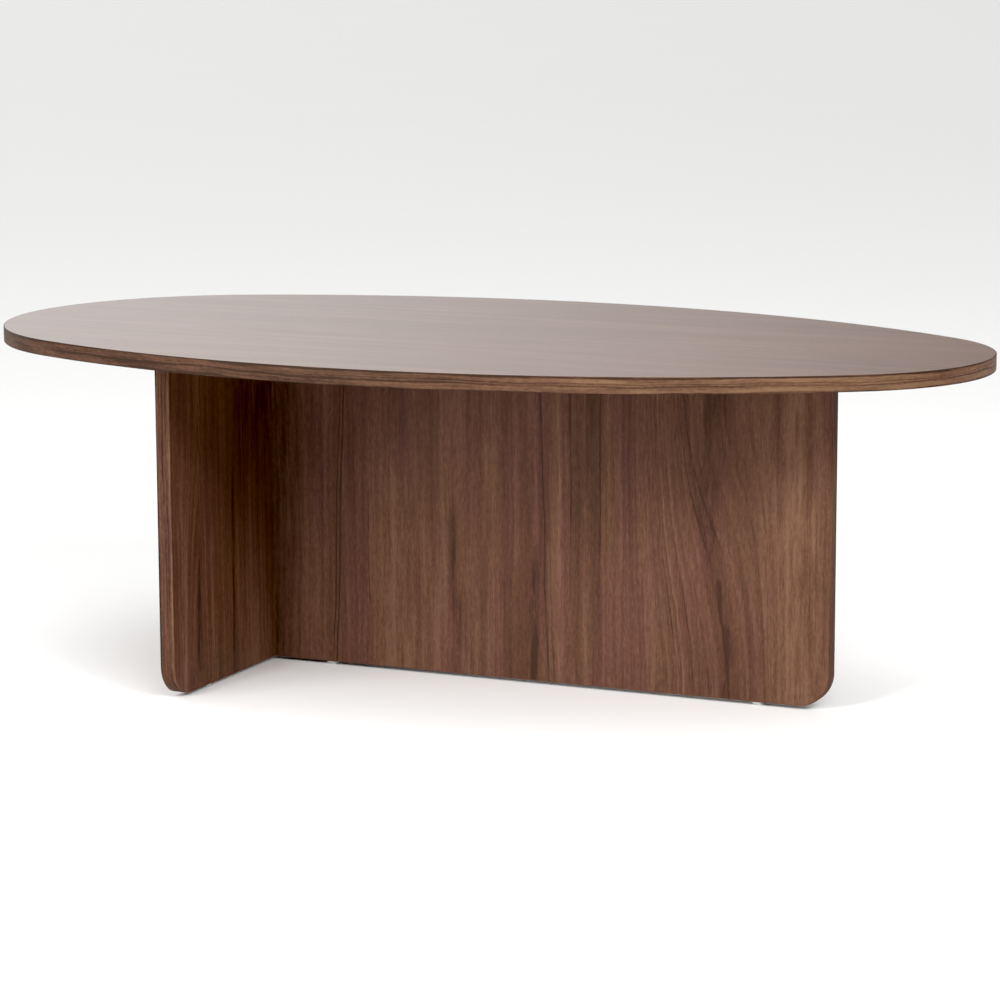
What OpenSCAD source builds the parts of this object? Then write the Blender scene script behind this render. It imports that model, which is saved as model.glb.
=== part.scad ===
// Oval coffee table: a four-arc oval top on a T of two upright boards.
// X runs along the top towards its narrow end, Y across it and Z up.
// The origin lies on the floor under the middle of the top.

/* [Oval top] */
// Length of the top, along X
top_length = 1200; // [1000:10:1400]
// Radius of the wide end of the oval
wide_end_r = 275; // [240:5:300]
// Radius of the narrow end of the oval
narrow_end_r = 205; // [170:5:230]
// Radius of the two long sides of the oval
side_r = 975; // [900:5:1300]
// Thickness of the top board, faces included
top_t = 18; // [16:1:28]

/* [Base] */
// Height of the two upright boards
panel_h = 385; // [330:5:480]
// Thickness of the upright boards, faces included
panel_t = 18; // [17:1:25]
// Length of the spine board, along X
spine_length = 700; // [560:10:760]
// Width of the cross board, along Y
cross_width = 510; // [400:10:560]
// From the wide end of the top to the outer face of the cross board
cross_setback = 308; // [250:2:340]
// Radius of the lower corners of the upright boards
corner_r = 38; // [10:1:60]

/* [Surfaces] */
// Thickness of the veneer on the faces of a board
veneer_t = 0.5; // [0.4:0.1:1]
// Thickness of the band glued round the edges of a board
band_t = 1; // [0.5:0.1:2]

/* [Glides] */
// Diameter of a glide
glide_d = 16; // [14:1:18]
// Thickness of a glide, the gap between the base and the floor
glide_h = 4; // [3:0.5:8]
// Slope at the rim of a glide, measured inwards and upwards
glide_bevel = 1.3; // [0.5:0.1:2]
// From the free end of a board to the middle of its glide
glide_from_end = 86; // [60:1:110]
// From the cross board to the middle of the first glide of the spine
glide_from_joint = 74; // [45:1:110]
// Diameter of the shank of a glide nail
nail_d = 2; // [1.5:0.1:3]
// Length of nail inside the board
nail_in_board = 15; // [10:1:25]
// Diameter of the head of a glide nail
nail_head_d = 6.5; // [5:0.5:8]
// Thickness of the head of a glide nail
nail_head_h = 1.2; // [0.8:0.1:1.5]
// Depth of the nail head above the underside of the glide
nail_recess = 0.5; // [0.3:0.1:0.8]

/* [Dowels] */
// Diameter of a dowel
dowel_d = 8; // [6:1:8]
// Length of dowel inside the board that it enters across the grain
dowel_in_face = 11; // [8:0.5:12]
// Length of dowel inside the edge of the other board
dowel_in_edge = 19; // [15:1:30]
// Chamfer on both ends of a dowel
dowel_chamfer = 1; // [0.5:0.1:1.5]
// Distance from a cam bolt to the dowel beside it
dowel_beside_bolt = 48; // [32:1:60]

/* [Cam bolts and cams] */
// Diameter of the screwed end of a cam bolt
thread_d = 6; // [5:0.5:7]
// Length of the screwed end of a cam bolt
thread_length = 10.5; // [8:0.5:11]
// Diameter of the collar of a cam bolt
collar_d = 7.4; // [7:0.1:7.6]
// Thickness of the collar of a cam bolt
collar_h = 2; // [1:0.5:3]
// Diameter of the shank of a cam bolt
shank_d = 6; // [5:0.5:6.5]
// Diameter of the neck that the cam grips
neck_d = 4.4; // [3.5:0.1:4.5]
// Diameter of the round head of a cam bolt
bolt_head_d = 6.8; // [6.4:0.1:7]
// Diameter of the hole that a cam bolt enters in the edge of a board
bolt_hole_d = 8; // [8:0.5:10]
// From the edge of a board to the middle of its cam
cam_from_edge = 34; // [28:1:40]
// Diameter of a cam
cam_d = 14.6; // [14:0.1:15]
// Height of a cam
cam_h = 12.4; // [12:0.1:12.8]
// Depth of the top of a cam below the veneer
cam_recess = 1; // [0.9:0.1:1.2]
// Diameter of a cap over a cam
cap_d = 17.5; // [17:0.5:22]
// Height of a cap above the veneer
cap_h = 1; // [0.8:0.1:2]
// Depth of the plug of a cap inside the mouth of the cam pocket
cap_plug_h = 0.7; // [0.5:0.1:0.8]
// From each end of the spine to the nearest cam bolt under the top
spine_bolt_margin = 100; // [80:1:120]
// From each end of the cross board to the nearest cam bolt under the top
cross_bolt_margin = 90; // [60:1:110]
// From the foot of the boards to the lower cam bolt of their joint
joint_bolt_low = 95; // [70:1:110]
// From the top of the boards to the upper cam bolt of their joint
joint_bolt_high = 115; // [95:1:130]

/* [Clearances] */
// Room round a dowel, a thread or a nail in its hole
hole_play = 0.1; // [0.05:0.05:0.2]
// Room round a cam or the plug of its cap in the pocket
cam_play = 0.2; // [0.1:0.05:0.3]
// Room between the claws of a cam and the neck or head of its bolt
claw_play = 0.4; // [0.2:0.05:0.5]
// Room past the end of a dowel, a bolt or a nail in its hole
end_play = 0.5; // [0.3:0.1:0.8]

/* [Hidden] */
$fn = 96;
// Longest straight side that draws the rim of the top
rim_side = 14;
// Extra length of a cut past the face that it leaves
over = 1;

// Heights
panel_z = glide_h;
top_z = glide_h + panel_h;

// The oval: two end circles, and two long sides that touch both
wide_x = wide_end_r - top_length / 2;
narrow_x = top_length / 2 - narrow_end_r;
wide_gap = side_r - wide_end_r;
narrow_gap = side_r - narrow_end_r;
side_x = (narrow_x + wide_x) / 2
    + (wide_gap * wide_gap - narrow_gap * narrow_gap) / (2 * (narrow_x - wide_x));
side_y = sqrt(wide_gap * wide_gap - (side_x - wide_x) * (side_x - wide_x));
// Angles at which a long side meets the narrow end and the wide end
narrow_angle = atan2(side_y, narrow_x - side_x);
wide_angle = atan2(side_y, wide_x - side_x);

// Places of the upright boards
cross_x = cross_setback - top_length / 2;
spine_x = cross_x + panel_t;
spine_end_x = spine_x + spine_length;
cross_mid_x = cross_x + panel_t / 2;

// Cams: each pocket is centred on the middle of the board
pocket_d = cam_d + 2 * cam_play;
pocket_depth = cam_recess + cam_h;
bolt_depth = panel_t / 2;

// Cam bolts under the top, and a dowel beside each of them
spine_bolt_xs = [
    spine_x + spine_bolt_margin,
    spine_x + spine_length / 2,
    spine_end_x - spine_bolt_margin
];
spine_dowel_xs = [
    spine_bolt_xs[0] + dowel_beside_bolt,
    spine_bolt_xs[1] + dowel_beside_bolt,
    spine_bolt_xs[2] - dowel_beside_bolt
];
cross_bolt_y = cross_width / 2 - cross_bolt_margin;
cross_bolt_ys = [-cross_bolt_y, cross_bolt_y];
cross_dowel_ys = [-cross_bolt_y + dowel_beside_bolt, cross_bolt_y - dowel_beside_bolt];

// Cam bolts and dowels of the joint between the two upright boards
joint_bolt_zs = [panel_z + joint_bolt_low, top_z - joint_bolt_high];
joint_dowel_zs = [
    joint_bolt_zs[0] + dowel_beside_bolt,
    joint_bolt_zs[1] - dowel_beside_bolt
];

// Glides
spine_glide_xs = [spine_x + glide_from_joint, spine_end_x - glide_from_end];
cross_glide_y = cross_width / 2 - glide_from_end;
cross_glide_ys = [-cross_glide_y, cross_glide_y];

// Colours
walnut_face = "#7d5f50";
walnut_edge = "#8a6349";
walnut_panel = "#6e4c3d";
chipboard = "#c9a678";
beech = "#d8b183";
zinc = "#a9adb0";
steel = "#8f9397";
brown_plastic = "#4a3327";
clear_plastic = "#cfd3d2";

// Points along an arc, from one angle up to, but not at, another
function arc(centre, radius, from, to, sides) = [
    for (i = [0 : sides - 1])
        let (angle = from + (to - from) * i / sides)
        centre + radius * [cos(angle), sin(angle)]
];

// Number of straight sides that draw an arc of the rim, even so that a corner lies at its middle
function rim_sides(radius, sweep) = 2 * ceil(PI * radius * sweep / 360 / rim_side);

// The oval, drawn in from its rim by an inset, one arc after another
module oval(inset) {
    end_r = narrow_end_r - inset;
    start_r = wide_end_r - inset;
    long_r = side_r - inset;
    end_sides = rim_sides(narrow_end_r, 2 * narrow_angle);
    start_sides = rim_sides(wide_end_r, 360 - 2 * wide_angle);
    long_sides = rim_sides(side_r, wide_angle - narrow_angle);
    polygon(concat(
        arc([narrow_x, 0], end_r, -narrow_angle, narrow_angle, end_sides),
        arc([side_x, -side_y], long_r, narrow_angle, wide_angle, long_sides),
        arc([wide_x, 0], start_r, wide_angle, 360 - wide_angle, start_sides),
        arc([side_x, side_y], long_r, 360 - wide_angle, 360 - narrow_angle, long_sides)
    ));
}

// One layer of the top between two heights above its underside
module top_layer(from, to, inset) {
    translate([0, 0, top_z + from])
        linear_extrude(to - from)
            oval(inset);
}

// A rounded lower corner with its centre at the origin, facing +X and down
module corner(outer_r, inner_r) {
    intersection() {
        difference() {
            circle(r = outer_r);
            if (inner_r > 0)
                circle(r = inner_r);
        }
        translate([0, -outer_r])
            square(outer_r);
    }
}

// Half of an upright board seen from its side, from a straight end at 0 to the free end
module board_half(length, inset) {
    translate([0, inset])
        square([length - corner_r, panel_h - inset]);
    translate([length - corner_r, corner_r])
        square([corner_r - inset, panel_h - corner_r]);
    translate([length - corner_r, corner_r])
        corner(corner_r - inset, 0);
}

// The band along the foot, round the corner and up the free end
module band_half(length) {
    square([length - corner_r, band_t]);
    translate([length - band_t, corner_r])
        square([band_t, panel_h - corner_r]);
    translate([length - corner_r, corner_r])
        corner(corner_r, corner_r - band_t);
}

// Stand a side view of the spine up between two distances from its front face
module stand_spine(from, to) {
    translate([spine_x, to - panel_t / 2, panel_z])
        rotate([90, 0, 0])
            linear_extrude(to - from)
                children();
}

// Stand a side view of the cross board up between two distances from its outer face
module stand_cross(from, to) {
    translate([cross_x + from, 0, panel_z])
        rotate([90, 0, 90])
            linear_extrude(to - from)
                children();
}

module cross_side(inset) {
    board_half(cross_width / 2, inset);
    mirror([1, 0])
        board_half(cross_width / 2, inset);
}

// Set children on their places, each with +Z into the board that is fixed to
module at_top_bolts() {
    for (x = spine_bolt_xs)
        translate([x, 0, top_z])
            children();
    for (y = cross_bolt_ys)
        translate([cross_mid_x, y, top_z])
            children();
}

module at_top_dowels() {
    for (x = spine_dowel_xs)
        translate([x, 0, top_z])
            children();
    for (y = cross_dowel_ys)
        translate([cross_mid_x, y, top_z])
            children();
}

module at_joint_bolts() {
    for (z = joint_bolt_zs)
        translate([spine_x, 0, z])
            rotate([0, -90, 0])
                children();
}

module at_joint_dowels() {
    for (z = joint_dowel_zs)
        translate([spine_x, 0, z])
            rotate([0, -90, 0])
                children();
}

module at_glides() {
    for (x = spine_glide_xs)
        translate([x, 0, 0])
            children();
    for (y = cross_glide_ys)
        translate([cross_mid_x, y, 0])
            children();
}

// Cams, each with +Z out of the mouth of its pocket and +X towards its bolt
module at_spine_cams() {
    for (x = spine_bolt_xs)
        translate([x, panel_t / 2, top_z - cam_from_edge])
            rotate([-90, -90, 0])
                children();
    for (z = joint_bolt_zs)
        translate([spine_x + cam_from_edge, panel_t / 2, z])
            rotate([-90, 180, 0])
                children();
}

module at_cross_cams() {
    for (y = cross_bolt_ys)
        translate([cross_x, y, top_z - cam_from_edge])
            rotate([0, -90, 0])
                children();
}

// Holes with +Z into the fixed board, from its face and from the edge of the other board
module thread_hole() {
    translate([0, 0, -over])
        cylinder(d = thread_d + 2 * hole_play, h = over + thread_length + end_play);
}

module bolt_hole() {
    translate([0, 0, -cam_from_edge])
        cylinder(d = bolt_hole_d, h = cam_from_edge + over);
}

module dowel_face_hole() {
    translate([0, 0, -over])
        cylinder(d = dowel_d + 2 * hole_play, h = over + dowel_in_face + end_play);
}

module dowel_edge_hole() {
    depth = dowel_in_edge + end_play;
    translate([0, 0, -depth])
        cylinder(d = dowel_d + 2 * hole_play, h = depth + over);
}

module cam_pocket() {
    translate([0, 0, -pocket_depth])
        cylinder(d = pocket_d, h = pocket_depth + over);
}

module nail_hole() {
    cylinder(d = nail_d + 2 * hole_play, h = panel_z + nail_in_board + end_play);
}

// All the holes in each board
module top_holes() {
    at_top_bolts() thread_hole();
    at_top_dowels() dowel_face_hole();
}

module upright_edge_holes() {
    at_top_bolts() bolt_hole();
    at_top_dowels() dowel_edge_hole();
    at_glides() nail_hole();
}

module spine_holes() {
    upright_edge_holes();
    at_joint_bolts() bolt_hole();
    at_joint_dowels() dowel_edge_hole();
    at_spine_cams() cam_pocket();
}

module cross_holes() {
    upright_edge_holes();
    at_joint_bolts() thread_hole();
    at_joint_dowels() dowel_face_hole();
    at_cross_cams() cam_pocket();
}

// A dowel with chamfered ends, +Z into the face that it enters
module dowel() {
    translate([0, 0, -dowel_in_edge])
        cylinder(d1 = dowel_d - 2 * dowel_chamfer, d2 = dowel_d, h = dowel_chamfer);
    translate([0, 0, dowel_chamfer - dowel_in_edge])
        cylinder(d = dowel_d, h = dowel_in_edge + dowel_in_face - 2 * dowel_chamfer);
    translate([0, 0, dowel_in_face - dowel_chamfer])
        cylinder(d1 = dowel_d, d2 = dowel_d - 2 * dowel_chamfer, h = dowel_chamfer);
}

// A cam bolt: a screwed end with a blunt point, a collar, a shank, a neck and a round head
module cam_bolt() {
    point_h = thread_d / 4;
    neck_start = cam_from_edge - cam_d / 2 - claw_play;
    cylinder(d = thread_d, h = thread_length - point_h);
    translate([0, 0, thread_length - point_h])
        cylinder(d1 = thread_d, d2 = thread_d / 2, h = point_h);
    translate([0, 0, -collar_h])
        cylinder(d = collar_d, h = collar_h);
    translate([0, 0, -neck_start])
        cylinder(d = shank_d, h = neck_start - collar_h);
    translate([0, 0, -cam_from_edge])
        cylinder(d = neck_d, h = cam_from_edge - neck_start);
    translate([0, 0, -cam_from_edge])
        sphere(d = bolt_head_d);
}

// A cam turned home: its claws close round the neck, and its wide mouth stands a quarter turn away
module cam() {
    slot_h = neck_d + 2 * claw_play;
    room_d = bolt_head_d + 2 * claw_play;
    difference() {
        translate([0, 0, -pocket_depth])
            cylinder(d = cam_d, h = cam_h);
        translate([0, 0, -bolt_depth]) {
            // mouth that lets the head in, with room for it behind the middle
            translate([0, -room_d / 2, 0])
                rotate([-90, 0, 0])
                    cylinder(d = room_d, h = cam_d);
            // slot that lets the neck through
            rotate([0, 90, 0])
                cylinder(d = slot_h, h = cam_d);
            // path of the neck between the two, as the cam is turned home
            translate([0, 0, -slot_h / 2])
                intersection() {
                    cylinder(d = cam_d + 2 * over, h = slot_h);
                    cube([cam_d, cam_d, slot_h]);
                }
        }
        // cross slot for a screwdriver
        for (turn = [0, 90])
            rotate([0, 0, turn + 45])
                translate([-cam_d / 4, -cam_d / 24, -cam_recess - cam_d / 6])
                    cube([cam_d / 2, cam_d / 12, cam_d / 6 + over]);
    }
}

// A cap: a low disc on the veneer and a plug in the mouth of the pocket
module cam_cap() {
    cap_slope = cap_h / 2;
    cylinder(d = cap_d, h = cap_h - cap_slope);
    translate([0, 0, cap_h - cap_slope])
        cylinder(d1 = cap_d, d2 = cap_d - 2 * cap_slope, h = cap_slope);
    translate([0, 0, -cap_plug_h])
        cylinder(d = cam_d, h = cap_plug_h);
}

// A glide, hollowed below for the head of its nail
module glide() {
    head_top = nail_recess + nail_head_h;
    difference() {
        union() {
            cylinder(d1 = glide_d - 2 * glide_bevel, d2 = glide_d, h = glide_bevel);
            translate([0, 0, glide_bevel])
                cylinder(d = glide_d, h = glide_h - glide_bevel);
        }
        translate([0, 0, -over])
            cylinder(d = nail_head_d + 2 * hole_play, h = over + head_top);
        cylinder(d = nail_d + 2 * hole_play, h = glide_h + over);
    }
}

// A nail, point up, with its head inside the glide
module glide_nail() {
    point_h = 2 * nail_d;
    tip_z = panel_z + nail_in_board;
    translate([0, 0, nail_recess])
        cylinder(d = nail_head_d, h = nail_head_h);
    translate([0, 0, nail_recess + nail_head_h])
        cylinder(d = nail_d, h = tip_z - point_h - nail_recess - nail_head_h);
    translate([0, 0, tip_z - point_h])
        cylinder(d1 = nail_d, d2 = nail_d / 8, h = point_h);
}

module top_board_core() {
    color(chipboard)
        difference() {
            top_layer(veneer_t, top_t - veneer_t, band_t);
            top_holes();
        }
}

module top_face_veneer() {
    color(walnut_face)
        top_layer(top_t - veneer_t, top_t, band_t);
}

module top_underside_veneer() {
    color(walnut_face)
        difference() {
            top_layer(0, veneer_t, band_t);
            top_holes();
        }
}

module top_edge_band() {
    color(walnut_edge)
        difference() {
            top_layer(0, top_t, 0);
            top_layer(-over, top_t + over, band_t);
        }
}

module spine_board_core() {
    color(chipboard)
        difference() {
            stand_spine(veneer_t, panel_t - veneer_t)
                board_half(spine_length, band_t);
            spine_holes();
        }
}

module spine_front_veneer() {
    color(walnut_panel)
        stand_spine(0, veneer_t)
            board_half(spine_length, band_t);
}

module spine_back_veneer() {
    color(walnut_panel)
        difference() {
            stand_spine(panel_t - veneer_t, panel_t)
                board_half(spine_length, band_t);
            at_spine_cams() cam_pocket();
        }
}

module spine_edge_band() {
    color(walnut_edge)
        difference() {
            stand_spine(0, panel_t)
                band_half(spine_length);
            at_glides() nail_hole();
        }
}

module cross_board_core() {
    color(chipboard)
        difference() {
            stand_cross(veneer_t, panel_t - veneer_t)
                cross_side(band_t);
            cross_holes();
        }
}

module cross_inner_veneer() {
    color(walnut_panel)
        difference() {
            stand_cross(panel_t - veneer_t, panel_t)
                cross_side(band_t);
            at_joint_bolts() thread_hole();
            at_joint_dowels() dowel_face_hole();
        }
}

module cross_outer_veneer() {
    color(walnut_panel)
        difference() {
            stand_cross(0, veneer_t)
                cross_side(band_t);
            at_cross_cams() cam_pocket();
        }
}

module cross_edge_band() {
    color(walnut_edge)
        difference() {
            stand_cross(0, panel_t) {
                band_half(cross_width / 2);
                mirror([1, 0])
                    band_half(cross_width / 2);
            }
            at_glides() nail_hole();
        }
}

module top_dowels() {
    color(beech)
        at_top_dowels() dowel();
}

module joint_dowels() {
    color(beech)
        at_joint_dowels() dowel();
}

module top_cam_bolts() {
    color(steel)
        at_top_bolts() cam_bolt();
}

module joint_cam_bolts() {
    color(steel)
        at_joint_bolts() cam_bolt();
}

module spine_cams() {
    color(zinc)
        at_spine_cams() cam();
}

module cross_cams() {
    color(zinc)
        at_cross_cams() cam();
}

module spine_cam_caps() {
    color(brown_plastic)
        at_spine_cams() cam_cap();
}

module cross_cam_caps() {
    color(brown_plastic)
        at_cross_cams() cam_cap();
}

module glides() {
    color(clear_plastic)
        at_glides() glide();
}

module glide_nails() {
    color(steel)
        at_glides() glide_nail();
}

top_board_core();
top_face_veneer();
top_underside_veneer();
top_edge_band();
spine_board_core();
spine_front_veneer();
spine_back_veneer();
spine_edge_band();
cross_board_core();
cross_inner_veneer();
cross_outer_veneer();
cross_edge_band();
top_dowels();
joint_dowels();
top_cam_bolts();
joint_cam_bolts();
spine_cams();
cross_cams();
spine_cam_caps();
cross_cam_caps();
glides();
glide_nails();
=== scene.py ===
import math

import bpy
import numpy as np
from mathutils import Matrix, Vector


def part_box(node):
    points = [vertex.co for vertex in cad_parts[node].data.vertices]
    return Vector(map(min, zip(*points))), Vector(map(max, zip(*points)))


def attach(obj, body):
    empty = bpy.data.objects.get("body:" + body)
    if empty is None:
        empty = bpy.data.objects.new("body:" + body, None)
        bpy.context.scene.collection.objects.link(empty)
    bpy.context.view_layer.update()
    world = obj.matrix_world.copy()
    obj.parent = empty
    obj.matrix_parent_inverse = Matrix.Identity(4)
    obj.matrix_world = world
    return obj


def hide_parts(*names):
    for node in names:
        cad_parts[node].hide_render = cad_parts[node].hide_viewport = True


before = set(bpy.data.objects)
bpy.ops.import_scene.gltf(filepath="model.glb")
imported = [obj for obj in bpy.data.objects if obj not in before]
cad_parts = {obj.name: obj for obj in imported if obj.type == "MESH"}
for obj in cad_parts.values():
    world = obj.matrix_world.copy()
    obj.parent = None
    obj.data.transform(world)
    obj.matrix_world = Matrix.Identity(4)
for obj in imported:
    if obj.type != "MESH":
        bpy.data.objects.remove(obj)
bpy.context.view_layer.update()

# Board cores
# Each board is an 18 mm sheet of chipboard: wood chips pressed with resin. It is sawn and routed to its
# outline and drilled for its fittings, and every face and edge is covered afterwards.
MM = 0.001
CHIP_LENGTH = 6 * MM
CHIP_WIDTH = 2.5 * MM
CHIP_RELIEF = 0.2 * MM
CHIP_PALE = "#d9b98c"
CHIP_DARK = "#a98155"


def linear(code, share=1):
    """sRGB hex turned to linear light, times a share: c / 12.92 up to 0.04045, and above that
    ((c + 0.055) / 1.055) to the power 2.4."""
    srgb = np.array([int(code[i:i + 2], 16) for i in (1, 3, 5)]) / 255
    light = share * np.where(srgb <= 0.04045, srgb / 12.92, ((srgb + 0.055) / 1.055) ** 2.4)
    return (*light.tolist(), 1.0)


def add(tree, kind, sockets=None, out=0, **settings):
    """Add a node with its settings, link or fill its sockets, and give back one of its outputs."""
    node = tree.nodes.new(kind)
    for name, value in settings.items():
        setattr(node, name, value)
    for socket, value in (sockets or {}).items():
        if isinstance(value, bpy.types.NodeSocket):
            tree.links.new(value, node.inputs[socket])
        else:
            node.inputs[socket].default_value = value
    return node.outputs[out]


def finish(name, **constants):
    """Start a material, with constants on its shader's own sockets, and give its node tree too."""
    material = bpy.data.materials.new(name)
    material.use_nodes = True
    for socket, value in constants.items():
        material.node_tree.nodes["Principled BSDF"].inputs[socket.replace("_", " ")].default_value = value
    return material, material.node_tree


def show(material, **patterns):
    """Link patterns to the shader of a material."""
    shader = material.node_tree.nodes["Principled BSDF"]
    for socket, pattern in patterns.items():
        material.node_tree.links.new(pattern, shader.inputs[socket.replace("_", " ")])
    return material


def dress(material, *nodes):
    """Give CAD nodes a material in place of their plain one."""
    for name in nodes:
        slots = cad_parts[name].data.materials
        slots.clear()
        slots.append(material)


def pressed_chipboard():
    """Raw chipboard: each chip is one cell of a stretched Voronoi pattern, pale or dark by chance."""
    material, tree = finish("pressed_chipboard", Roughness=0.85)
    place = add(tree, "ShaderNodeTexCoord", out="Object")
    chips = add(tree, "ShaderNodeMapping", {
        "Vector": place, "Scale": (1 / CHIP_LENGTH, 1 / CHIP_WIDTH, 1 / CHIP_WIDTH)})
    chance = add(tree, "ShaderNodeTexVoronoi", {"Vector": chips, "Scale": 1}, out="Color")
    tint = add(tree, "ShaderNodeMix", {
        0: chance, 6: linear(CHIP_DARK), 7: linear(CHIP_PALE)}, out=2, data_type="RGBA")
    gaps = add(tree, "ShaderNodeTexVoronoi", {"Vector": chips, "Scale": 1})
    relief = add(tree, "ShaderNodeBump", {"Height": gaps, "Distance": CHIP_RELIEF, "Strength": 0.5})
    return show(material, Base_Color=tint, Normal=relief)


dress(pressed_chipboard(), "top_board_core", "spine_board_core", "cross_board_core")

# Face veneers
# Every face of every board has a 0.5 mm sheet of American walnut glued on, sliced so that the growth
# rings show as lines along the grain that lean together in flames. It is sprayed with a matt lacquer.
X, Y, Z = np.eye(3)

# how far the grain wanders to either side, and the width and length of one such turn, in mm
WANDERS = ((10, 60, 300), (4, 10, 60))
# one side of a flame is steeper by this factor; its tips and its foot are rounded over so many mm
FLAME_SKEW = 2.4
FLAME_TIP = 12
FLAME_FOOT = 60
# width and length in mm of the patches where the wood blushes, of those that break up a stripe, and of the
# ripples across the grain
BLUSH_PATCH = (45, 300)
BREAK_PATCH = (7, 60)
RIPPLE = (3, 5)
# the range of its noise over which a blush grows, and that over which the share of a stripe's weight grows
BLUSH_NOISE = (0.4, 0.6)
BREAK_NOISE = (0.35, 0.65)
# a broken stripe keeps between the first and the second share of its weight
BREAK_SHARES = (0.4, 1.4)
# width and length of a pore in mm: real ones are about 0.2 mm wide, and these are wider so that they show
PORE = (0.7, 7)
PORE_DEPTH = 0.05 * MM
# how much each noise adds to the tone; a flame adds the weight of its rings once more
RING_WEIGHT = 0.7
BAND_WEIGHT = 0.6
CLOUD_WEIGHT = 0.4
LONG_FIBRE_WEIGHT = 0.42
SHORT_FIBRE_WEIGHT = 0.5
RIPPLE_WEIGHT = 0.3
PORE_WEIGHT = 0.3
# the wood is darkest below the first tone and palest above the last
DARK_TONE, MIDDLE_TONE, PALE_TONE = 0.05, 0.5, 0.95
# the wood's own colours are multiplied by one of these, or by a mix of both
TAN_CAST = "#fcfef5"
ROSY_CAST = "#fcf7fe"


def walnut(name, across, along, seed, flames=(), bends=(), streaks=(), blushes_and_shade=(), place="Object",
           fibre=1.4, line=5, band=24, cloud=80, dark="#3f2a22", middle="#5a3d31", pale="#725344",
           **constants):
    """Lacquered walnut veneer, with u across the grain and w along it, in mm. Growth rings are lines along w.
    A bend pushes them aside by an amount that falls to nothing at its reach and grows from its foot to its
    head. Round a flame, a ring is a contour of the distance from the flame's axis, less the lean times the
    height over its foot, so that rings lean together; a flame with a negative lean points the other way.
    The tone adds up noises: fibres, ring lines, bands of rings and clouds, and streaks at set places. The
    seed picks the slice of them. Real fibres are under 0.1 mm wide, and bundles of them are drawn."""
    material, tree = finish(name, **{"Roughness": 0.5, "Specular_IOR_Level": 0.08, **constants})
    source = add(tree, "ShaderNodeTexCoord", out=place)
    u, w = [
        add(tree, "ShaderNodeVectorMath", {0: source, 1: axis / MM}, out="Value", operation="DOT_PRODUCT")
        for axis in (across, along)
    ]

    def patch(sideways, wide, long, detail=2, shift=0):
        """Soft noise of about 0.5 whose patches are so many mm wide across the grain and long along it. The
        shift takes it from a part of the noise that no other pattern uses."""
        flat = add(tree, "ShaderNodeCombineXYZ", {"X": sideways, "Y": w, "Z": seed})
        scaled = add(tree, "ShaderNodeMapping", {
            "Vector": flat, "Location": (shift, 0, shift), "Scale": (1 / wide, 1 / long, 1)})
        return add(tree, "ShaderNodeTexNoise", {"Vector": scaled, "Scale": 1, "Detail": detail})

    def total(start, *terms):
        """The start value plus each pattern times its weight, where a pattern lies about 0.5."""
        for pattern, weight in terms:
            centred = add(tree, "ShaderNodeMath", {0: pattern, 1: 0.5}, operation="SUBTRACT")
            start = add(tree, "ShaderNodeMath", {0: centred, 1: weight, 2: start}, operation="MULTIPLY_ADD")
        return start

    def distance(value, middle_line):
        """How far a value lies from a line, on either side of it."""
        aside = add(tree, "ShaderNodeMath", {0: value, 1: middle_line}, operation="SUBTRACT")
        return add(tree, "ShaderNodeMath", {0: aside}, operation="ABSOLUTE")

    grain = total(u, *[
        (patch(u, wide, long, shift=1 + number), far) for number, (far, wide, long) in enumerate(WANDERS)])
    for axis, foot, head, push, reach in bends:
        near = add(tree, "ShaderNodeMapRange", {
            "Value": distance(grain, axis), "From Max": reach, "To Min": push, "To Max": 0},
            interpolation_type="SMOOTHSTEP")
        grown = add(tree, "ShaderNodeMapRange", {
            "Value": w, "From Min": foot, "From Max": head}, interpolation_type="SMOOTHSTEP")
        grain = add(tree, "ShaderNodeMath", {0: near, 1: grown, 2: grain}, operation="MULTIPLY_ADD")
    rings = grain
    ring_weight = RING_WEIGHT
    for axis, foot, lean, reach in flames:
        aside = add(tree, "ShaderNodeMath", {0: grain, 1: axis}, operation="SUBTRACT")
        near_side = add(tree, "ShaderNodeMath", {0: aside, 1: -1}, operation="MULTIPLY")
        steep_side = add(tree, "ShaderNodeMath", {0: aside, 1: FLAME_SKEW}, operation="MULTIPLY")
        away = add(tree, "ShaderNodeMath", {
            0: near_side, 1: steep_side, 2: FLAME_TIP}, operation="SMOOTH_MAX")
        over = add(tree, "ShaderNodeMath", {0: w, 1: foot}, operation="SUBTRACT")
        over = add(tree, "ShaderNodeMath", {0: over, 1: math.copysign(1, lean)}, operation="MULTIPLY")
        risen = add(tree, "ShaderNodeMath", {0: over, 1: 0, 2: FLAME_FOOT}, operation="SMOOTH_MAX")
        near = add(tree, "ShaderNodeMapRange", {
            "Value": away, "From Max": reach, "To Min": 1, "To Max": 0}, interpolation_type="SMOOTHSTEP")
        raised = add(tree, "ShaderNodeMath", {0: risen, 1: near}, operation="MULTIPLY")
        flame = add(tree, "ShaderNodeMath", {0: raised, 1: -abs(lean), 2: away}, operation="MULTIPLY_ADD")
        rings = flame if rings is grain else add(
            tree, "ShaderNodeMath", {0: rings, 1: flame}, operation="MINIMUM")
        ring_weight = add(tree, "ShaderNodeMath", {
            0: near, 1: RING_WEIGHT, 2: ring_weight}, operation="MULTIPLY_ADD")

    broken = add(tree, "ShaderNodeMapRange", {
        "Value": patch(u, *BREAK_PATCH, shift=9), "From Min": BREAK_NOISE[0], "From Max": BREAK_NOISE[1],
        "To Min": BREAK_SHARES[0], "To Max": BREAK_SHARES[1]})

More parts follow.
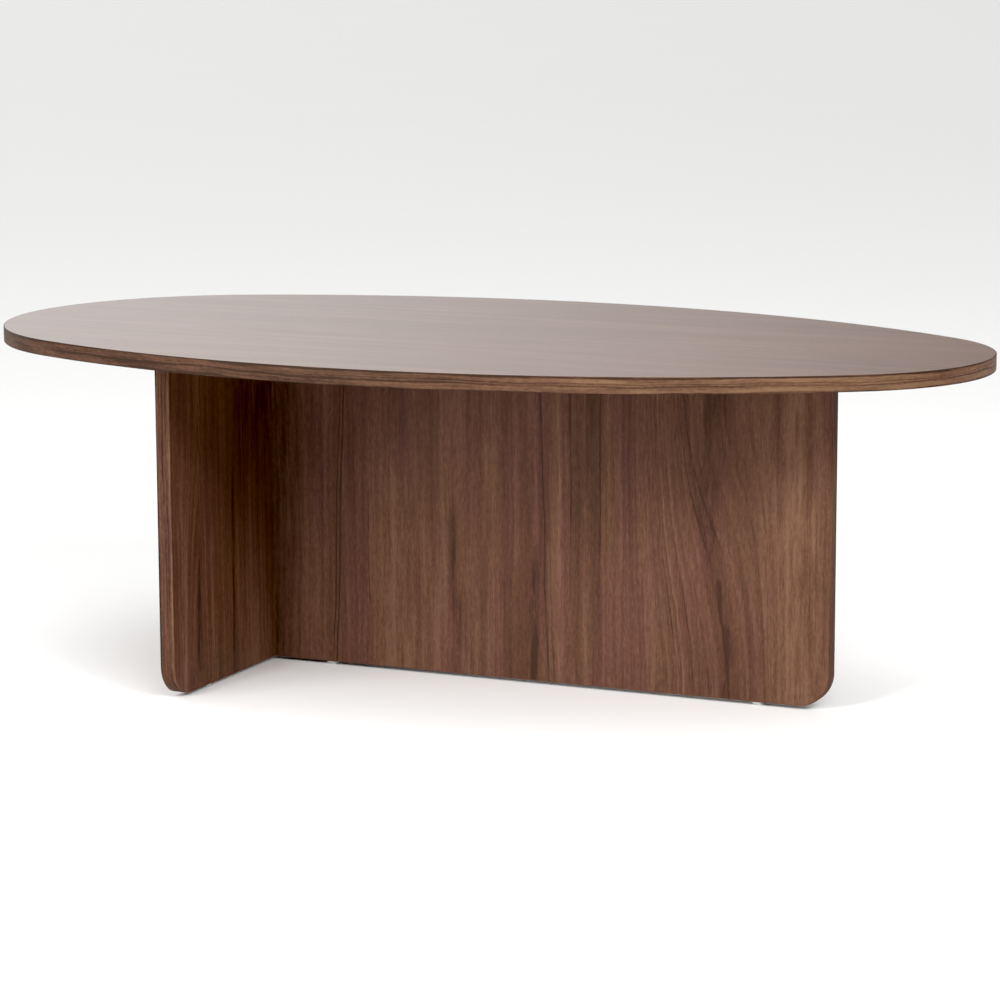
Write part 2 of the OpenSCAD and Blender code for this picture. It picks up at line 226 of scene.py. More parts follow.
    def stripes(value, places):
        """The value plus the weight of each stripe, which fades to its sides, fades in over its foot and out
        under its head, and is broken up by a noise."""
        for axis, lean, half_width, weight, foot, head in places:
            upright_place = add(tree, "ShaderNodeMath", {0: w, 1: -lean, 2: grain}, operation="MULTIPLY_ADD")
            strength = add(tree, "ShaderNodeMapRange", {
                "Value": distance(upright_place, axis), "From Max": half_width,
                "To Min": weight, "To Max": 0}, interpolation_type="SMOOTHSTEP")
            half_length = (head - foot) / 2
            shown = add(tree, "ShaderNodeMapRange", {
                "Value": distance(w, foot + half_length), "From Min": half_length / 2,
                "From Max": half_length, "To Min": 1, "To Max": 0}, interpolation_type="SMOOTHSTEP")
            shown = add(tree, "ShaderNodeMath", {0: shown, 1: broken}, operation="MULTIPLY")
            value = add(tree, "ShaderNodeMath", {0: strength, 1: shown, 2: value}, operation="MULTIPLY_ADD")
        return value

    # rings and fibres run along the grain, so each patch of them is many times longer than wide
    pores = patch(u, *PORE, detail=1, shift=5)
    tone = total(
        MIDDLE_TONE,
        (patch(rings, line, 60 * line, shift=3), ring_weight),
        (patch(rings, band, 18 * band, shift=6), BAND_WEIGHT),
        (patch(u, cloud, 5 * cloud, shift=7), CLOUD_WEIGHT),
        (patch(u, fibre, 24 * fibre, detail=3, shift=4), LONG_FIBRE_WEIGHT),
        (patch(u, 1.3 * fibre, 7 * fibre, shift=10), SHORT_FIBRE_WEIGHT),
        (patch(u, *RIPPLE, shift=11), RIPPLE_WEIGHT),
        (pores, PORE_WEIGHT))
    tone = stripes(tone, streaks)

    # dark, middle and pale wood by tone, with a tan or a rosy cast
    low = add(tree, "ShaderNodeMapRange", {"Value": tone, "From Min": DARK_TONE, "From Max": MIDDLE_TONE})
    high = add(tree, "ShaderNodeMapRange", {"Value": tone, "From Min": MIDDLE_TONE, "From Max": PALE_TONE})
    blush = add(tree, "ShaderNodeMapRange", {
        "Value": stripes(patch(u, *BLUSH_PATCH, shift=8), blushes_and_shade),
        "From Min": BLUSH_NOISE[0], "From Max": BLUSH_NOISE[1]})
    tint = add(tree, "ShaderNodeMix", {0: low, 6: linear(dark), 7: linear(middle)}, out=2, data_type="RGBA")
    tint = add(tree, "ShaderNodeMix", {0: high, 6: tint, 7: linear(pale)}, out=2, data_type="RGBA")
    cast = add(tree, "ShaderNodeMix", {
        0: blush, 6: linear(TAN_CAST), 7: linear(ROSY_CAST)}, out=2, data_type="RGBA")
    tint = add(tree, "ShaderNodeMix", {
        0: 1, 6: tint, 7: cast}, out=2, data_type="RGBA", blend_type="MULTIPLY")
    relief = add(tree, "ShaderNodeBump", {"Height": pores, "Distance": PORE_DEPTH, "Strength": 0.3})
    return show(material, Base_Color=tint, Normal=relief)


# in mm, a flame is (axis, foot, lean, reach) and a bend (axis, foot, head, push, reach); a streak or a
# blush is (axis, lean, half width, weight, foot, head)
spine_front = walnut(
    "walnut_spine_front", X, Z, 11.3, bends=[(272, 0, 350, 60, 110)],
    streaks=[
        # this broad dark streak by the cross board is painted shade, where the board shades the spine
        (-270, 0, 55, -0.25, -400, 800),
        (-196.8, 0.042, 1.3, -0.6, -300, 700), (-192, 0.042, 1.5, -0.9, -300, 700),
        (-147, 0, 2, -0.3, 40, 230), (-105, 0, 60, 0.2, -260, 330), (-38, 0, 10, -0.3, 60, 220),
        (-28, 0, 14, -0.25, -100, 130), (5, 0, 16, 0.15, 180, 300), (66, 0, 7, -0.55, -60, 180),
        (83, -0.03, 1.8, -0.5, -60, 460), (90, -0.03, 1.4, -0.35, -60, 250), (97, 0, 7, 0.25, -100, 500),
        (112, 0, 1.5, -0.4, 40, 480), (130, 0, 15, -0.2, 60, 520), (147, 0, 1.5, -0.5, 120, 420),
        (264, 0, 1.5, -0.28, -100, 500), (252, 0, 2, 0.35, -100, 500), (243, 0, 1.5, -0.4, -100, 420),
        (324, -0.092, 1.8, -0.5, 120, 560), (345, -0.122, 1.8, -0.4, 150, 400),
        (291, 0.137, 20, -0.3, 80, 640), (289, 0.17, 3, -0.9, 86, 144),
        (306, 0, 2.4, -0.5, -20, 120), (303, 0.06, 10, -0.4, -60, 110),
        (349, 0, 1.5, -0.2, -60, 420), (357, 0, 1.5, -0.2, -60, 420), (390, 0, 50, 0.25, -300, 700),
    ],
    blushes_and_shade=[
        # the tan blush at -270 mm makes that painted shade by the cross board deeper and more saturated
        (-270, 0, 50, -0.3, -400, 800), (-168, 0.03, 22, 0.2, -200, 500),
        (-100, 0, 50, -0.15, -200, 300), (5, 0, 20, -0.15, 160, 300), (30, 0, 12, 0.25, 60, 220),
        (88, 0, 16, -0.3, -400, 800), (180, 0, 32, 0.2, -100, 500), (130, 0, 18, -0.2, -100, 600),
        (380, 0, 60, -0.15, -300, 700),
    ])
spine_back = walnut("walnut_spine_back", X, Z, 47.9, flames=[(-60, 60, 0.2, 130), (330, 20, 0.28, 110)])
# the inner face of the cross board looks into the corner under the top, and its darker colours are painted
# shade over the whole face
cross_inner = walnut(
    "walnut_cross_inner", Y, Z, 83.1, flames=[(-190, 310, -0.22, 60)],
    streaks=[
        (-113, 0.018, 4.5, -0.7, -60, 300), (-193, 0, 10, -0.4, 0, 200), (-232, 0, 18, 0.25, -400, 400),
        # the broad dark streak at -50 mm, high up by the spine, and the pale one at -60 mm, low down, are
        # painted shade that grows towards the top
        (-50, 0, 90, -0.4, 180, 800), (-160, 0, 14, 0.2, -300, 300), (-60, 0, 80, 0.3, -500, 200),
    ],
    blushes_and_shade=[(-193, 0, 14, -0.3, -100, 200), (-232, 0, 30, 0.9, -400, 400)],
    # these colours, darker than those of the other veneers, are painted shade
    dark="#33201a", middle="#523525", pale="#6e4e3c")
cross_outer = walnut("walnut_cross_outer", Y, Z, 29.6, flames=[(40, 70, 0.25, 140)])
underside = walnut(
    "walnut_top_underside", Y, X, 61.7, flames=[(-90, -600, 0.06, 160), (180, -200, 0.08, 120)])
# the top's colours are paler than those of the other veneers, which are of the same walnut: painted light on
# the face that looks up to the lamps; its lacquer has more sheen
top_face = walnut(
    "walnut_top_face", Y, X, 5.2, flames=[(-60, -500, 0.07, 180), (210, -100, 0.1, 120)],
    dark="#533c30", middle="#654b3e", pale="#7d6152", Roughness=0.36, Specular_IOR_Level=0.46)
dress(spine_front, "spine_front_veneer")
dress(spine_back, "spine_back_veneer")
dress(cross_inner, "cross_inner_veneer")
dress(cross_outer, "cross_outer_veneer")
dress(underside, "top_underside_veneer")

# Edge bands of the uprights
# A 1 mm walnut band is glued round the foot, the rounded corner and the free end of each board. The
# machine that glues it trims it flush and rounds its two arrises.
BAND_T = 1 * MM
ARRIS = 0.8 * MM
ARRIS_POINTS = 6
CORNER_R = 38 * MM
CORNER_POINTS = 16
SHARP_ANGLE = math.radians(40)
spine_low, spine_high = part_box("spine_edge_band")
cross_low, cross_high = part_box("cross_edge_band")


def arc(centre, radius, start, stop, count):
    """Points on part of a circle: centre + radius * (cos a, sin a), with a from start to stop in degrees."""
    angles = np.radians(np.linspace(start, stop, count))
    return np.array(centre) + radius * np.stack([np.cos(angles), np.sin(angles)], 1)


def band_profile(width):
    """Section of a band, going round it from its back at the first face: out from the board, then across it.
    The two outer corners are quarter circles with the radius of the arris."""
    first = arc((-ARRIS, ARRIS), ARRIS, -90, 0, ARRIS_POINTS)
    second = arc((-ARRIS, width - ARRIS), ARRIS, 0, 90, ARRIS_POINTS)
    return np.concatenate([[[-BAND_T, 0]], first, second, [[-BAND_T, width]]])


def skin(name, points, faces):
    """A mesh of points and faces, shaded smooth but for its sharp edges."""
    mesh = bpy.data.meshes.new(name)
    mesh.from_pydata(points.tolist(), [], faces)
    mesh.shade_smooth()
    mesh.set_sharp_from_angle(angle=SHARP_ANGLE)
    return mesh


def carry(name, path, outward, sideways, profile, closed):
    """Carry a profile along a path: point (i, j) lies at path i + outward i * out j + sideways * across j.
    The UV map gives the distance along the path and round the profile, in metres."""
    count, sides = len(path), len(profile)
    points = path[:, None] + outward[:, None] * profile[None, :, :1] + sideways * profile[None, :, 1:]
    steps = count if closed else count - 1
    i, j = np.meshgrid(np.arange(steps), np.arange(sides), indexing="ij")
    i_next, j_next = (i + 1) % count, (j + 1) % sides
    quads = np.stack([i * sides + j, i_next * sides + j, i_next * sides + j_next, i * sides + j_next], -1)

    def lengths(loop):
        """Distance from the first point to each point and back to the first."""
        gaps = np.linalg.norm(np.diff(np.concatenate([loop, loop[:1]]), axis=0), axis=1)
        return np.concatenate([[0], np.cumsum(gaps)])

    along, around = lengths(path), lengths(profile)
    corners = [(i, j), (i + 1, j), (i + 1, j + 1), (i, j + 1)]
    uv = np.stack([np.stack([along[a], around[b]], -1) for a, b in corners], -2).reshape(-1, 2)
    faces = quads.reshape(-1, 4).tolist()
    if not closed:
        for end, order in ((0, np.arange(sides)), (count - 1, np.arange(sides)[::-1])):
            faces.append((end * sides + order).tolist())
            uv = np.concatenate([uv, np.stack([np.full(sides, along[end]), around[order]], -1)])
    mesh = skin(name, points.reshape(-1, 3), faces)
    mesh.uv_layers.new(name="band").data.foreach_set("uv", uv.astype(np.float32).ravel())
    return mesh


def piece(mesh, material, slot, *nodes):
    """Put a mesh in the scene as a piece that stands for CAD nodes."""
    mesh.materials.append(material)
    made = bpy.data.objects.new(mesh.name, mesh)
    bpy.context.scene.collection.objects.link(made)
    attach(made, "root")
    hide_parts(*nodes)


def board_edge(start, stop, foot, top, start_free):
    """Side view of a board's edge: down the end at the start if that is free, along the foot and up the end
    at the stop. Each round corner is centre + radius * direction. Gives the points and the directions out
    of the board, as (along, up)."""
    last_out = arc((0, 0), 1, -90, 0, CORNER_POINTS)
    last = np.array([stop - CORNER_R, foot + CORNER_R]) + CORNER_R * last_out
    first_out = np.array([[0, -1]])
    first = np.array([[start, foot]])
    if start_free:
        corner_out = arc((0, 0), 1, 180, 270, CORNER_POINTS)
        corner = np.array([start + CORNER_R, foot + CORNER_R]) + CORNER_R * corner_out
        first_out = np.concatenate([[[-1, 0]], corner_out])
        first = np.concatenate([[[start, top]], corner])
    points = np.concatenate([first, last, [[stop, top]]])
    return points, np.concatenate([first_out, last_out, [[1, 0]]])


edge_tones = dict(
    place="UV", fibre=1.2, line=3, band=6, cloud=30, dark="#35241c", middle="#563c2f", pale="#6e5341")
upright_band = walnut(
    "walnut_upright_band", Y, X, 91.4, **edge_tones, Specular_IOR_Level=0.03,
    streaks=[
        (10, 0, 60, -0.08, -2000, 4000), (0.8, 0, 1.6, -0.8, -800, 2600),
        (9.6, 0, 1.6, -0.25, -800, 2600), (14, 0, 1.2, -0.25, -800, 2600),
        # the pale stripe at 18.4 mm round the band is a painted highlight on the arris at the front of the
        # spine and at the inner face of the cross board
        (18.4, 0, 1.8, 0.18, -2000, 4000),
    ])
places, outward = board_edge(spine_low.x, spine_high.x, spine_low.z, spine_high.z, start_free=False)
spine_band = carry(
    "spine_edge", places[:, :1] * X + places[:, 1:] * Z + spine_high.y * Y,
    outward[:, :1] * X + outward[:, 1:] * Z, -Y, band_profile(spine_high.y - spine_low.y), closed=False)
piece(spine_band, upright_band, "walnut_edge_band", "spine_edge_band")
places, outward = board_edge(cross_low.y, cross_high.y, cross_low.z, cross_high.z, start_free=True)
cross_band = carry(
    "cross_edge", places[:, :1] * Y + places[:, 1:] * Z + cross_low.x * X,
    outward[:, :1] * Y + outward[:, 1:] * Z, X, band_profile(cross_high.x - cross_low.x), closed=False)
piece(cross_band, upright_band, "walnut_edge_band", "cross_edge_band")

# Top
# The top is routed to an egg-like oval of four arcs, and its edge has the same band as the uprights. Its
# upper face has the same veneer with the grain running along the table.
WIDE_END_R = 275 * MM
NARROW_END_R = 205 * MM
SIDE_R = 975 * MM
VENEER_T = 0.5 * MM
RIM_STEP = 5 * MM
rim_low, rim_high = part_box("top_edge_band")


def oval(inset):
    """Points about evenly spaced round the oval, and the directions out of it. Each arc is
    centre + (radius - inset) * (cos a, sin a), and the arcs meet where their radii line up."""
    narrow_x, wide_x = rim_high.x - NARROW_END_R, rim_low.x + WIDE_END_R
    to_wide, to_narrow = SIDE_R - WIDE_END_R, SIDE_R - NARROW_END_R
    side_x = (narrow_x + wide_x) / 2 + (to_wide ** 2 - to_narrow ** 2) / (2 * (narrow_x - wide_x))
    side_y = math.sqrt(to_wide ** 2 - (side_x - wide_x) ** 2)
    narrow = math.atan2(side_y, narrow_x - side_x)
    wide = math.atan2(side_y, wide_x - side_x)
    arcs = [
        ((side_x, -side_y), SIDE_R, narrow, wide),
        ((wide_x, 0), WIDE_END_R, wide, 2 * math.pi - wide),
        ((side_x, side_y), SIDE_R, 2 * math.pi - wide, 2 * math.pi - narrow),
        ((narrow_x, 0), NARROW_END_R, -narrow, narrow),
    ]
    points, outward = [], []
    for centre, radius, start, stop in arcs:
        # an even count puts a point at the very tip of each end
        steps = 2 * math.ceil(radius * (stop - start) / RIM_STEP / 2)
        angles = np.linspace(start, stop, steps, endpoint=False)
        out = np.stack([np.cos(angles), np.sin(angles), 0 * angles], 1)
        outward.append(out)
        points.append(np.array([*centre, 0]) + (radius - inset) * out)
    return np.concatenate(points), np.concatenate(outward)


def stack(name, rings, places=((0, 0, 0),)):
    """Mesh with a skin through closed rings at each place. The rings are an array of (ring, point, xyz), from
    the lowest to the highest, each anticlockwise. A fan to its middle shuts the first and the last."""
    levels, sides = rings.shape[:2]
    i, j = np.meshgrid(np.arange(levels - 1), np.arange(sides), indexing="ij")
    j_next = (j + 1) % sides
    quads = np.stack([i * sides + j, i * sides + j_next, (i + 1) * sides + j_next, (i + 1) * sides + j], -1)
    around = np.arange(sides)
    after = (around + 1) % sides
    last = (levels - 1) * sides
    foot, head = np.full(sides, levels * sides), np.full(sides, levels * sides + 1)
    fans = np.concatenate([
        np.stack([foot, after, around], 1), np.stack([head, last + around, last + after], 1)])
    points = np.concatenate([rings.reshape(-1, 3), [rings[0].mean(0), rings[-1].mean(0)]])
    faces = []
    for first in range(0, len(places) * len(points), len(points)):
        faces += (first + quads).reshape(-1, 4).tolist() + (first + fans).tolist()
    return skin(name, (np.array(places)[:, None] + points).reshape(-1, 3), faces)


rim, rim_outward = oval(0)
top_band = walnut(
    "walnut_top_band", Y, X, 17.8, **edge_tones,
    streaks=[
        # the dark stripe at 1 mm round the band is painted shade along its lower arris, where it turns under
        # the top
        (1, 0, 2.4, -0.6, -4000, 8000), (9, 0, 1.6, -0.5, -4000, 8000), (12, 0, 1.2, -0.4, 1900, 3100),
        (18.5, 0, 2.2, -1, -4000, 8000), (18.5, 0, 2.6, -0.8, 1000, 2100),
        # the broad darker stretch from 1000 to 2200 mm along the rim is painted shade, and the paler one from
        # 2150 to 3050 mm painted light, which make the rim brighter towards its narrow end
        (10, 0, 60, -0.25, 1000, 2200), (10, 0, 60, 0.28, 2150, 3050),
    ],
    blushes_and_shade=[(10, 0, 60, -0.2, 1000, 3050)])
rim_band = carry(
    "top_edge", rim + rim_low.z * Z, rim_outward, Z, band_profile(rim_high.z - rim_low.z), closed=True)
piece(rim_band, top_band, "walnut_edge_band", "top_edge_band")
field, _ = oval(BAND_T)
face = stack("top_face", np.stack([field + (rim_high.z - VENEER_T) * Z, field + rim_high.z * Z]))
piece(face, top_face, "walnut_top_veneer", "top_face_veneer")

# Dowels
# Turned beech pegs, pressed dry into the edge of one board and the face of the next, where they keep the
# boards in line while the cams pull them together. The closed joints hide them.
BEECH_PALE = "#dcb78d"
BEECH_FLECK = "#b98a5e"
FLECK_WIDTH = 0.8 * MM
FLECK_LENGTH = 3 * MM
# a fleck starts to show at the first value of its noise, and is full at the second
FLECK_START, FLECK_FULL = 0.5, 0.7


def raw_beech():
    """Beech with its short dark flecks, which are thin patches of a noise stretched along the peg."""
    material, tree = finish("raw_beech", Roughness=0.6)
    place = add(tree, "ShaderNodeTexCoord", out="Object")
    flecks = add(tree, "ShaderNodeMapping", {
        "Vector": place, "Scale": (1 / FLECK_WIDTH, 1 / FLECK_WIDTH, 1 / FLECK_LENGTH)})
    fleck = add(tree, "ShaderNodeTexNoise", {"Vector": flecks, "Scale": 1, "Detail": 2})
    amount = add(tree, "ShaderNodeMapRange", {
        "Value": fleck, "From Min": FLECK_START, "From Max": FLECK_FULL})
    tint = add(tree, "ShaderNodeMix", {
        0: amount, 6: linear(BEECH_PALE), 7: linear(BEECH_FLECK)}, out=2, data_type="RGBA")
    return show(material, Base_Color=tint)


dress(raw_beech(), "top_dowels", "joint_dowels")

# Cam bolts and cams
# Steel bolts with bright zinc plating are screwed into the top and the cross board. Each enters the next
# board through its edge, where a die-cast zinc cam in a 15 mm pocket grips its head and pulls it home.
METAL_CLOUD = 4 * MM
# the range of its noise over which the metal grows paler and less glossy
METAL_CLOUD_NOISE = (0.3, 0.7)
GLOSS_SWING = 0.08
GRAIN_RELIEF = 0.02 * MM
# the darker places of an uneven colour have this share of its light
DARKER = 0.8


def metal(name, color, roughness, grit):
    """Bare metal: cloudy roughness, and a fine relief of grains as wide as the grit."""
    material, tree = finish(name, Metallic=1)
    place = add(tree, "ShaderNodeTexCoord", out="Object")
    grains = add(tree, "ShaderNodeTexNoise", {"Vector": place, "Scale": 1 / grit, "Detail": 3})
    cloud = add(tree, "ShaderNodeTexNoise", {"Vector": place, "Scale": 1 / METAL_CLOUD})
    start, full = METAL_CLOUD_NOISE
    gloss = add(tree, "ShaderNodeMapRange", {
        "Value": cloud, "From Min": start, "From Max": full,
        "To Min": roughness - GLOSS_SWING, "To Max": roughness + GLOSS_SWING})
    shade = add(tree, "ShaderNodeMapRange", {"Value": cloud, "From Min": start, "From Max": full})
    tint = add(tree, "ShaderNodeMix", {
        0: shade, 6: linear(color, share=DARKER), 7: linear(color)}, out=2, data_type="RGBA")
    relief = add(tree, "ShaderNodeBump", {"Height": grains, "Distance": GRAIN_RELIEF, "Strength": 0.5})
    return show(material, Base_Color=tint, Roughness=gloss, Normal=relief)


# plating is bright and a little cool, and the die-cast alloy duller, with a coarser grain; both grains are
# drawn coarser than real so that they show
zinc_plate = metal("zinc_plated_steel", "#b9bcc0", 0.28, 0.3 * MM)
dress(zinc_plate, "top_cam_bolts", "joint_cam_bolts")
dress(metal("cast_zinc_alloy", "#9b9ea2", 0.42, 0.6 * MM), "spine_cams", "cross_cams")

# Cam caps
# Brown plastic caps snap into the mouths of the cam pockets, in the back face of the spine and in the
# outer face of the cross board. They are moulded ABS with a fine matt texture.
CAP_R = 8.75 * MM
CAP_H = 1 * MM
CAP_PLUG_R = 7.3 * MM
CAP_PLUG_H = 0.7 * MM
CAP_EDGE = 0.6 * MM
CAP_EDGE_POINTS = 6
CAP_DISH = 0.15 * MM
CAP_DISH_SHARES = (0.9, 0.75, 0.5, 0.25)
TURN_SIDES = 64
# a cam's distance from the edge that its bolt enters, that of the outer ones from the ends of the spine,
# and those of the joint cams from the foot and from the upper edge of the spine
CAM_FROM_EDGE = 34 * MM
SPINE_MARGIN = 100 * MM
JOINT_CAM_LOW = 95 * MM
JOINT_CAM_HIGH = 115 * MM
PLASTIC_IOR = 1.53
PLASTIC_CLOUD = 6 * MM
PLASTIC_RELIEF = 0.03 * MM
caps_low, caps_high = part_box("cross_cam_caps")


def turned(profile, sideways, across, up):
    """Rings of a round piece: each (radius, height) of the profile makes one ring, of the points
    radius * (cos a * sideways + sin a * across) + height * up."""
    angles = np.linspace(0, 2 * np.pi, TURN_SIDES, endpoint=False)[:, None]
    radii, heights = profile.T[:, :, None, None]
    return radii * (np.cos(angles) * sideways + np.sin(angles) * across) + heights * up


def cap_profile():
    """A plug, a flat brim, a quarter-round edge and a top that is dished a little towards its middle: its
    height is that of the cap, less the dish times one minus the square of the share of the radius."""
    edge = arc((CAP_R - CAP_EDGE, CAP_H - CAP_EDGE), CAP_EDGE, 0, 90, CAP_EDGE_POINTS)
    share = np.array(CAP_DISH_SHARES)
    dish = np.stack([share * (CAP_R - CAP_EDGE), CAP_H - CAP_DISH * (1 - share ** 2)], 1)
    return np.concatenate([[[CAP_PLUG_R, -CAP_PLUG_H], [CAP_PLUG_R, 0], [CAP_R, 0]], edge, dish])


def moulded(name, color, roughness, texture, **constants):
    """Moulded plastic: its colour a little uneven, with a relief of bumps as wide as the texture."""
    material, tree = finish(name, Roughness=roughness, IOR=PLASTIC_IOR, **constants)
    place = add(tree, "ShaderNodeTexCoord", out="Object")
    bumps = add(tree, "ShaderNodeTexNoise", {"Vector": place, "Scale": 1 / texture, "Detail": 2})
    cloud = add(tree, "ShaderNodeTexNoise", {"Vector": place, "Scale": 1 / PLASTIC_CLOUD})
    tint = add(tree, "ShaderNodeMix", {
        0: cloud, 6: linear(color, share=DARKER), 7: linear(color)}, out=2, data_type="RGBA")
    relief = add(tree, "ShaderNodeBump", {"Height": bumps, "Distance": PLASTIC_RELIEF, "Strength": 0.6})
    return show(material, Base_Color=tint, Normal=relief)


# three cams pull the spine to the top, two pull it to the cross board, and two pull that to the top
board_top = spine_high.z
spine_cap_places = [
    (spine_low.x + SPINE_MARGIN, spine_high.y, board_top - CAM_FROM_EDGE),
    ((spine_low.x + spine_high.x) / 2, spine_high.y, board_top - CAM_FROM_EDGE),
    (spine_high.x - SPINE_MARGIN, spine_high.y, board_top - CAM_FROM_EDGE),
    (spine_low.x + CAM_FROM_EDGE, spine_high.y, spine_low.z + JOINT_CAM_LOW),
    (spine_low.x + CAM_FROM_EDGE, spine_high.y, board_top - JOINT_CAM_HIGH),
]
cross_cap_places = [
    (cross_low.x, y, board_top - CAM_FROM_EDGE) for y in (caps_low.y + CAP_R, caps_high.y - CAP_R)]
# the ABS is brown all through, and its moulded texture, drawn coarser than real, leaves only a soft sheen
cap_plastic = moulded("brown_abs", "#4b352a", 0.45, 0.5 * MM)
# the number that ends a piece's name is how many caps or pads it holds
spine_caps = stack("spine_caps.005", turned(cap_profile(), X, -Z, Y), spine_cap_places)
piece(spine_caps, cap_plastic, "brown_plastic", "spine_cam_caps")
cross_caps = stack("cross_caps.002", turned(cap_profile(), -Y, Z, -X), cross_cap_places)
piece(cross_caps, cap_plastic, "brown_plastic", "cross_cam_caps")

# Glides
# A round pad of milky polyethylene under each end of the uprights keeps the veneer off the floor. A
# plated nail through its middle holds it, with its head sunk into the pad.
GLIDE_R = 8 * MM
GLIDE_EDGE = 1.3 * MM
GLIDE_EDGE_POINTS = 7
GLIDE_FROM_JOINT = 74 * MM
NAIL_BORE_R = 3.35 * MM
NAIL_BORE_H = 1.75 * MM
glides_low, glides_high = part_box("glides")


def glide_profile():
    """A bore for the nail head, a flat foot, a quarter-round edge and a straight side up to the board."""
    edge = arc((GLIDE_R - GLIDE_EDGE, GLIDE_EDGE), GLIDE_EDGE, -90, 0, GLIDE_EDGE_POINTS)
    return np.concatenate([[[NAIL_BORE_R, NAIL_BORE_H], [NAIL_BORE_R, 0]], edge, [[GLIDE_R, glides_high.z]]])


# two under the spine and two under the cross board
glide_places = [
    (spine_low.x + GLIDE_FROM_JOINT, 0, 0),
    (glides_high.x - GLIDE_R, 0, 0),
    (glides_low.x + GLIDE_R, glides_low.y + GLIDE_R, 0),
    (glides_low.x + GLIDE_R, glides_high.y - GLIDE_R, 0),
]
# polyethylene lets light in, so the pads look milky; they are smoother than the caps, and their texture,
# too, is drawn coarser than real
milky = moulded(
    "milky_polyethylene", "#b2b5b1", 0.35, 0.8 * MM, Subsurface_Weight=0.5, Subsurface_Scale=2 * MM,
    Subsurface_Radius=(1, 1, 1))
glide_pads = stack("glide_pads.004", turned(glide_profile(), X, Y, Z), glide_places)
piece(glide_pads, milky, "translucent_plastic", "glides")
dress(zinc_plate, "glide_nails")

# Studio
# The table stands on a plain pale floor that runs far past the picture. Four soft boxes light it from the
# front, to both sides of the camera, and the top mirrors a bright wall behind it and a bright ceiling.
FLOOR_HALF = 60
FLOOR_CLOUD = 1.25
FLOOR_SHADES = ("#fafaf9", "#fcfcfb")
EYE = (1.6093, -3.5545, 0.8922)
AZIMUTH, ELEVATION, ROLL = np.radians([24.11, 9.893, -0.195])
FOCAL = 3.4027
SENSOR = 36
FAR_CLIP = 200
# each bright side of the room: its direction, the cosines where its light starts and is full, and its light
BRIGHT_SIDES = (
    ((-0.86, 0.496, 0.119), 0.6, 0.95, 1.9),
    (Z, 0.5, 1, 1.35),
)
DIM = 0.03
# each soft box: its name, place, width, height and power
SOFT_BOXES = (
    ("key", (-0.61, -3.14, 1.9), 0.5, 0.8, 38),
    ("left", (-1.6, -2.77, 1), 1.6, 0.8, 43),
    ("right", (1.84, -2.62, 2.3), 1.6, 0.8, 46),
    ("far_right", (2.77, -1.6, 2.2), 1.2, 1.2, 72),
)
TABLE_MIDDLE = (0, 0, 0.25)
BLACK_POINT = 0.0075
WHITE_POINT = 0.95


def studio_floor():
    """Matt pale floor with a very faint cloudiness."""
    material, tree = finish("studio_floor", Roughness=0.8)
    place = add(tree, "ShaderNodeTexCoord", out="Object")
    cloud = add(tree, "ShaderNodeTexNoise", {"Vector": place, "Scale": 1 / FLOOR_CLOUD})
    darker, paler = [linear(shade) for shade in FLOOR_SHADES]
    tint = add(tree, "ShaderNodeMix", {0: cloud, 6: darker, 7: paler}, out=2, data_type="RGBA")
    return show(material, Base_Color=tint)


def room():
    """A dim room whose light grows smoothly towards each bright side."""
    world = bpy.data.worlds.new("studio")
    world.use_nodes = True
    tree = world.node_tree
    direction = add(tree, "ShaderNodeTexCoord", out="Generated")
    strength = DIM
    for side, start, full, light in BRIGHT_SIDES:
        towards = add(
            tree, "ShaderNodeVectorMath", {0: direction, 1: side}, out="Value", operation="DOT_PRODUCT")
        glow = add(tree, "ShaderNodeMapRange", {
            "Value": towards, "From Min": start, "From Max": full, "To Max": light},
            interpolation_type="SMOOTHSTEP")
        strength = add(tree, "ShaderNodeMath", {0: strength, 1: glow}, operation="ADD")
    background = tree.nodes["Background"]
    background.inputs["Color"].default_value = linear("#ffffff")
    tree.links.new(strength, background.inputs["Strength"])
    return world


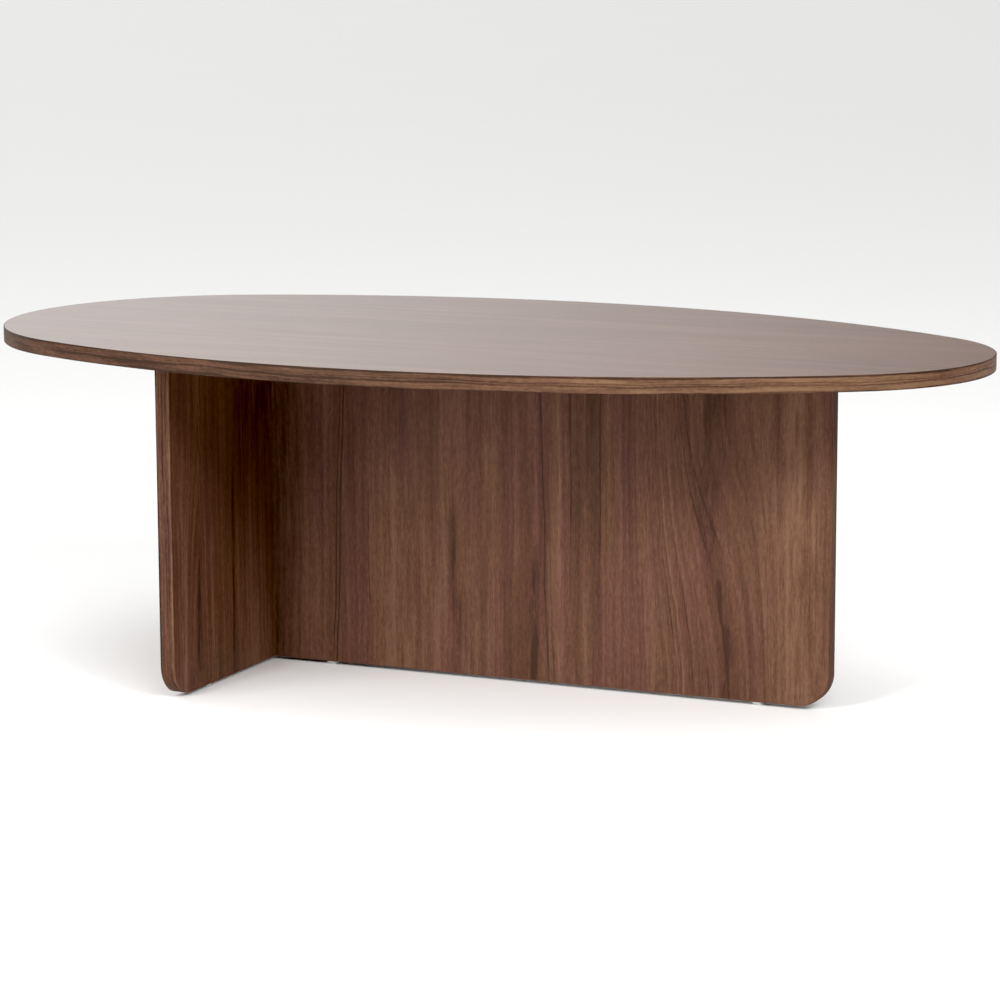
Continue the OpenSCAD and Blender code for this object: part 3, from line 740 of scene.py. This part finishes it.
def soft_box(name, place, width, height, power):
    """A rectangular lamp that faces the middle of the table."""
    lamp = bpy.data.lights.new(name, "AREA")
    lamp.shape = "RECTANGLE"
    lamp.size = width
    lamp.size_y = height
    lamp.energy = power
    made = bpy.data.objects.new(name, lamp)
    towards = Vector(TABLE_MIDDLE) - Vector(place)
    made.matrix_world = Matrix.Translation(place) @ towards.to_track_quat("-Z", "Y").to_matrix().to_4x4()
    made.visible_camera = False
    bpy.context.scene.collection.objects.link(made)


floor_corners = FLOOR_HALF * np.array([[-1, -1, 0], [1, -1, 0], [1, 1, 0], [-1, 1, 0]])
floor_mesh = bpy.data.meshes.new("floor")
floor_mesh.from_pydata(floor_corners.tolist(), [], [(0, 1, 2, 3)])
floor_mesh.materials.append(studio_floor())
floor = bpy.data.objects.new("floor", floor_mesh)
bpy.context.scene.collection.objects.link(floor)
bpy.context.scene.world = room()
for box in SOFT_BOXES:
    soft_box(*box)

# the camera looks ahead, and its roll turns it about that line from level
ahead = np.array([
    -math.sin(AZIMUTH) * math.cos(ELEVATION), math.cos(AZIMUTH) * math.cos(ELEVATION), -math.sin(ELEVATION)])
level = np.array([math.cos(AZIMUTH), math.sin(AZIMUTH), 0])
upright = np.cross(level, ahead)
right = math.cos(ROLL) * level + math.sin(ROLL) * upright
up = math.cos(ROLL) * upright - math.sin(ROLL) * level
pose = np.eye(4)
pose[:3, :3] = np.stack([right, up, -ahead], 1)
pose[:3, 3] = EYE
camera = bpy.data.objects.new("camera", bpy.data.cameras.new("camera"))
camera.data.sensor_width = SENSOR
camera.data.lens = FOCAL * SENSOR
camera.data.clip_end = FAR_CLIP
camera.matrix_world = Matrix(pose.tolist())
bpy.context.scene.collection.objects.link(camera)
bpy.context.scene.camera = camera

# the picture's tones run from its black point to its white point, as in the photograph
view = bpy.context.scene.view_settings
view.view_transform = "Standard"
view.use_curve_mapping = True
view.curve_mapping.black_level = [BLACK_POINT] * 3
view.curve_mapping.white_level = [WHITE_POINT] * 3
view.curve_mapping.update()
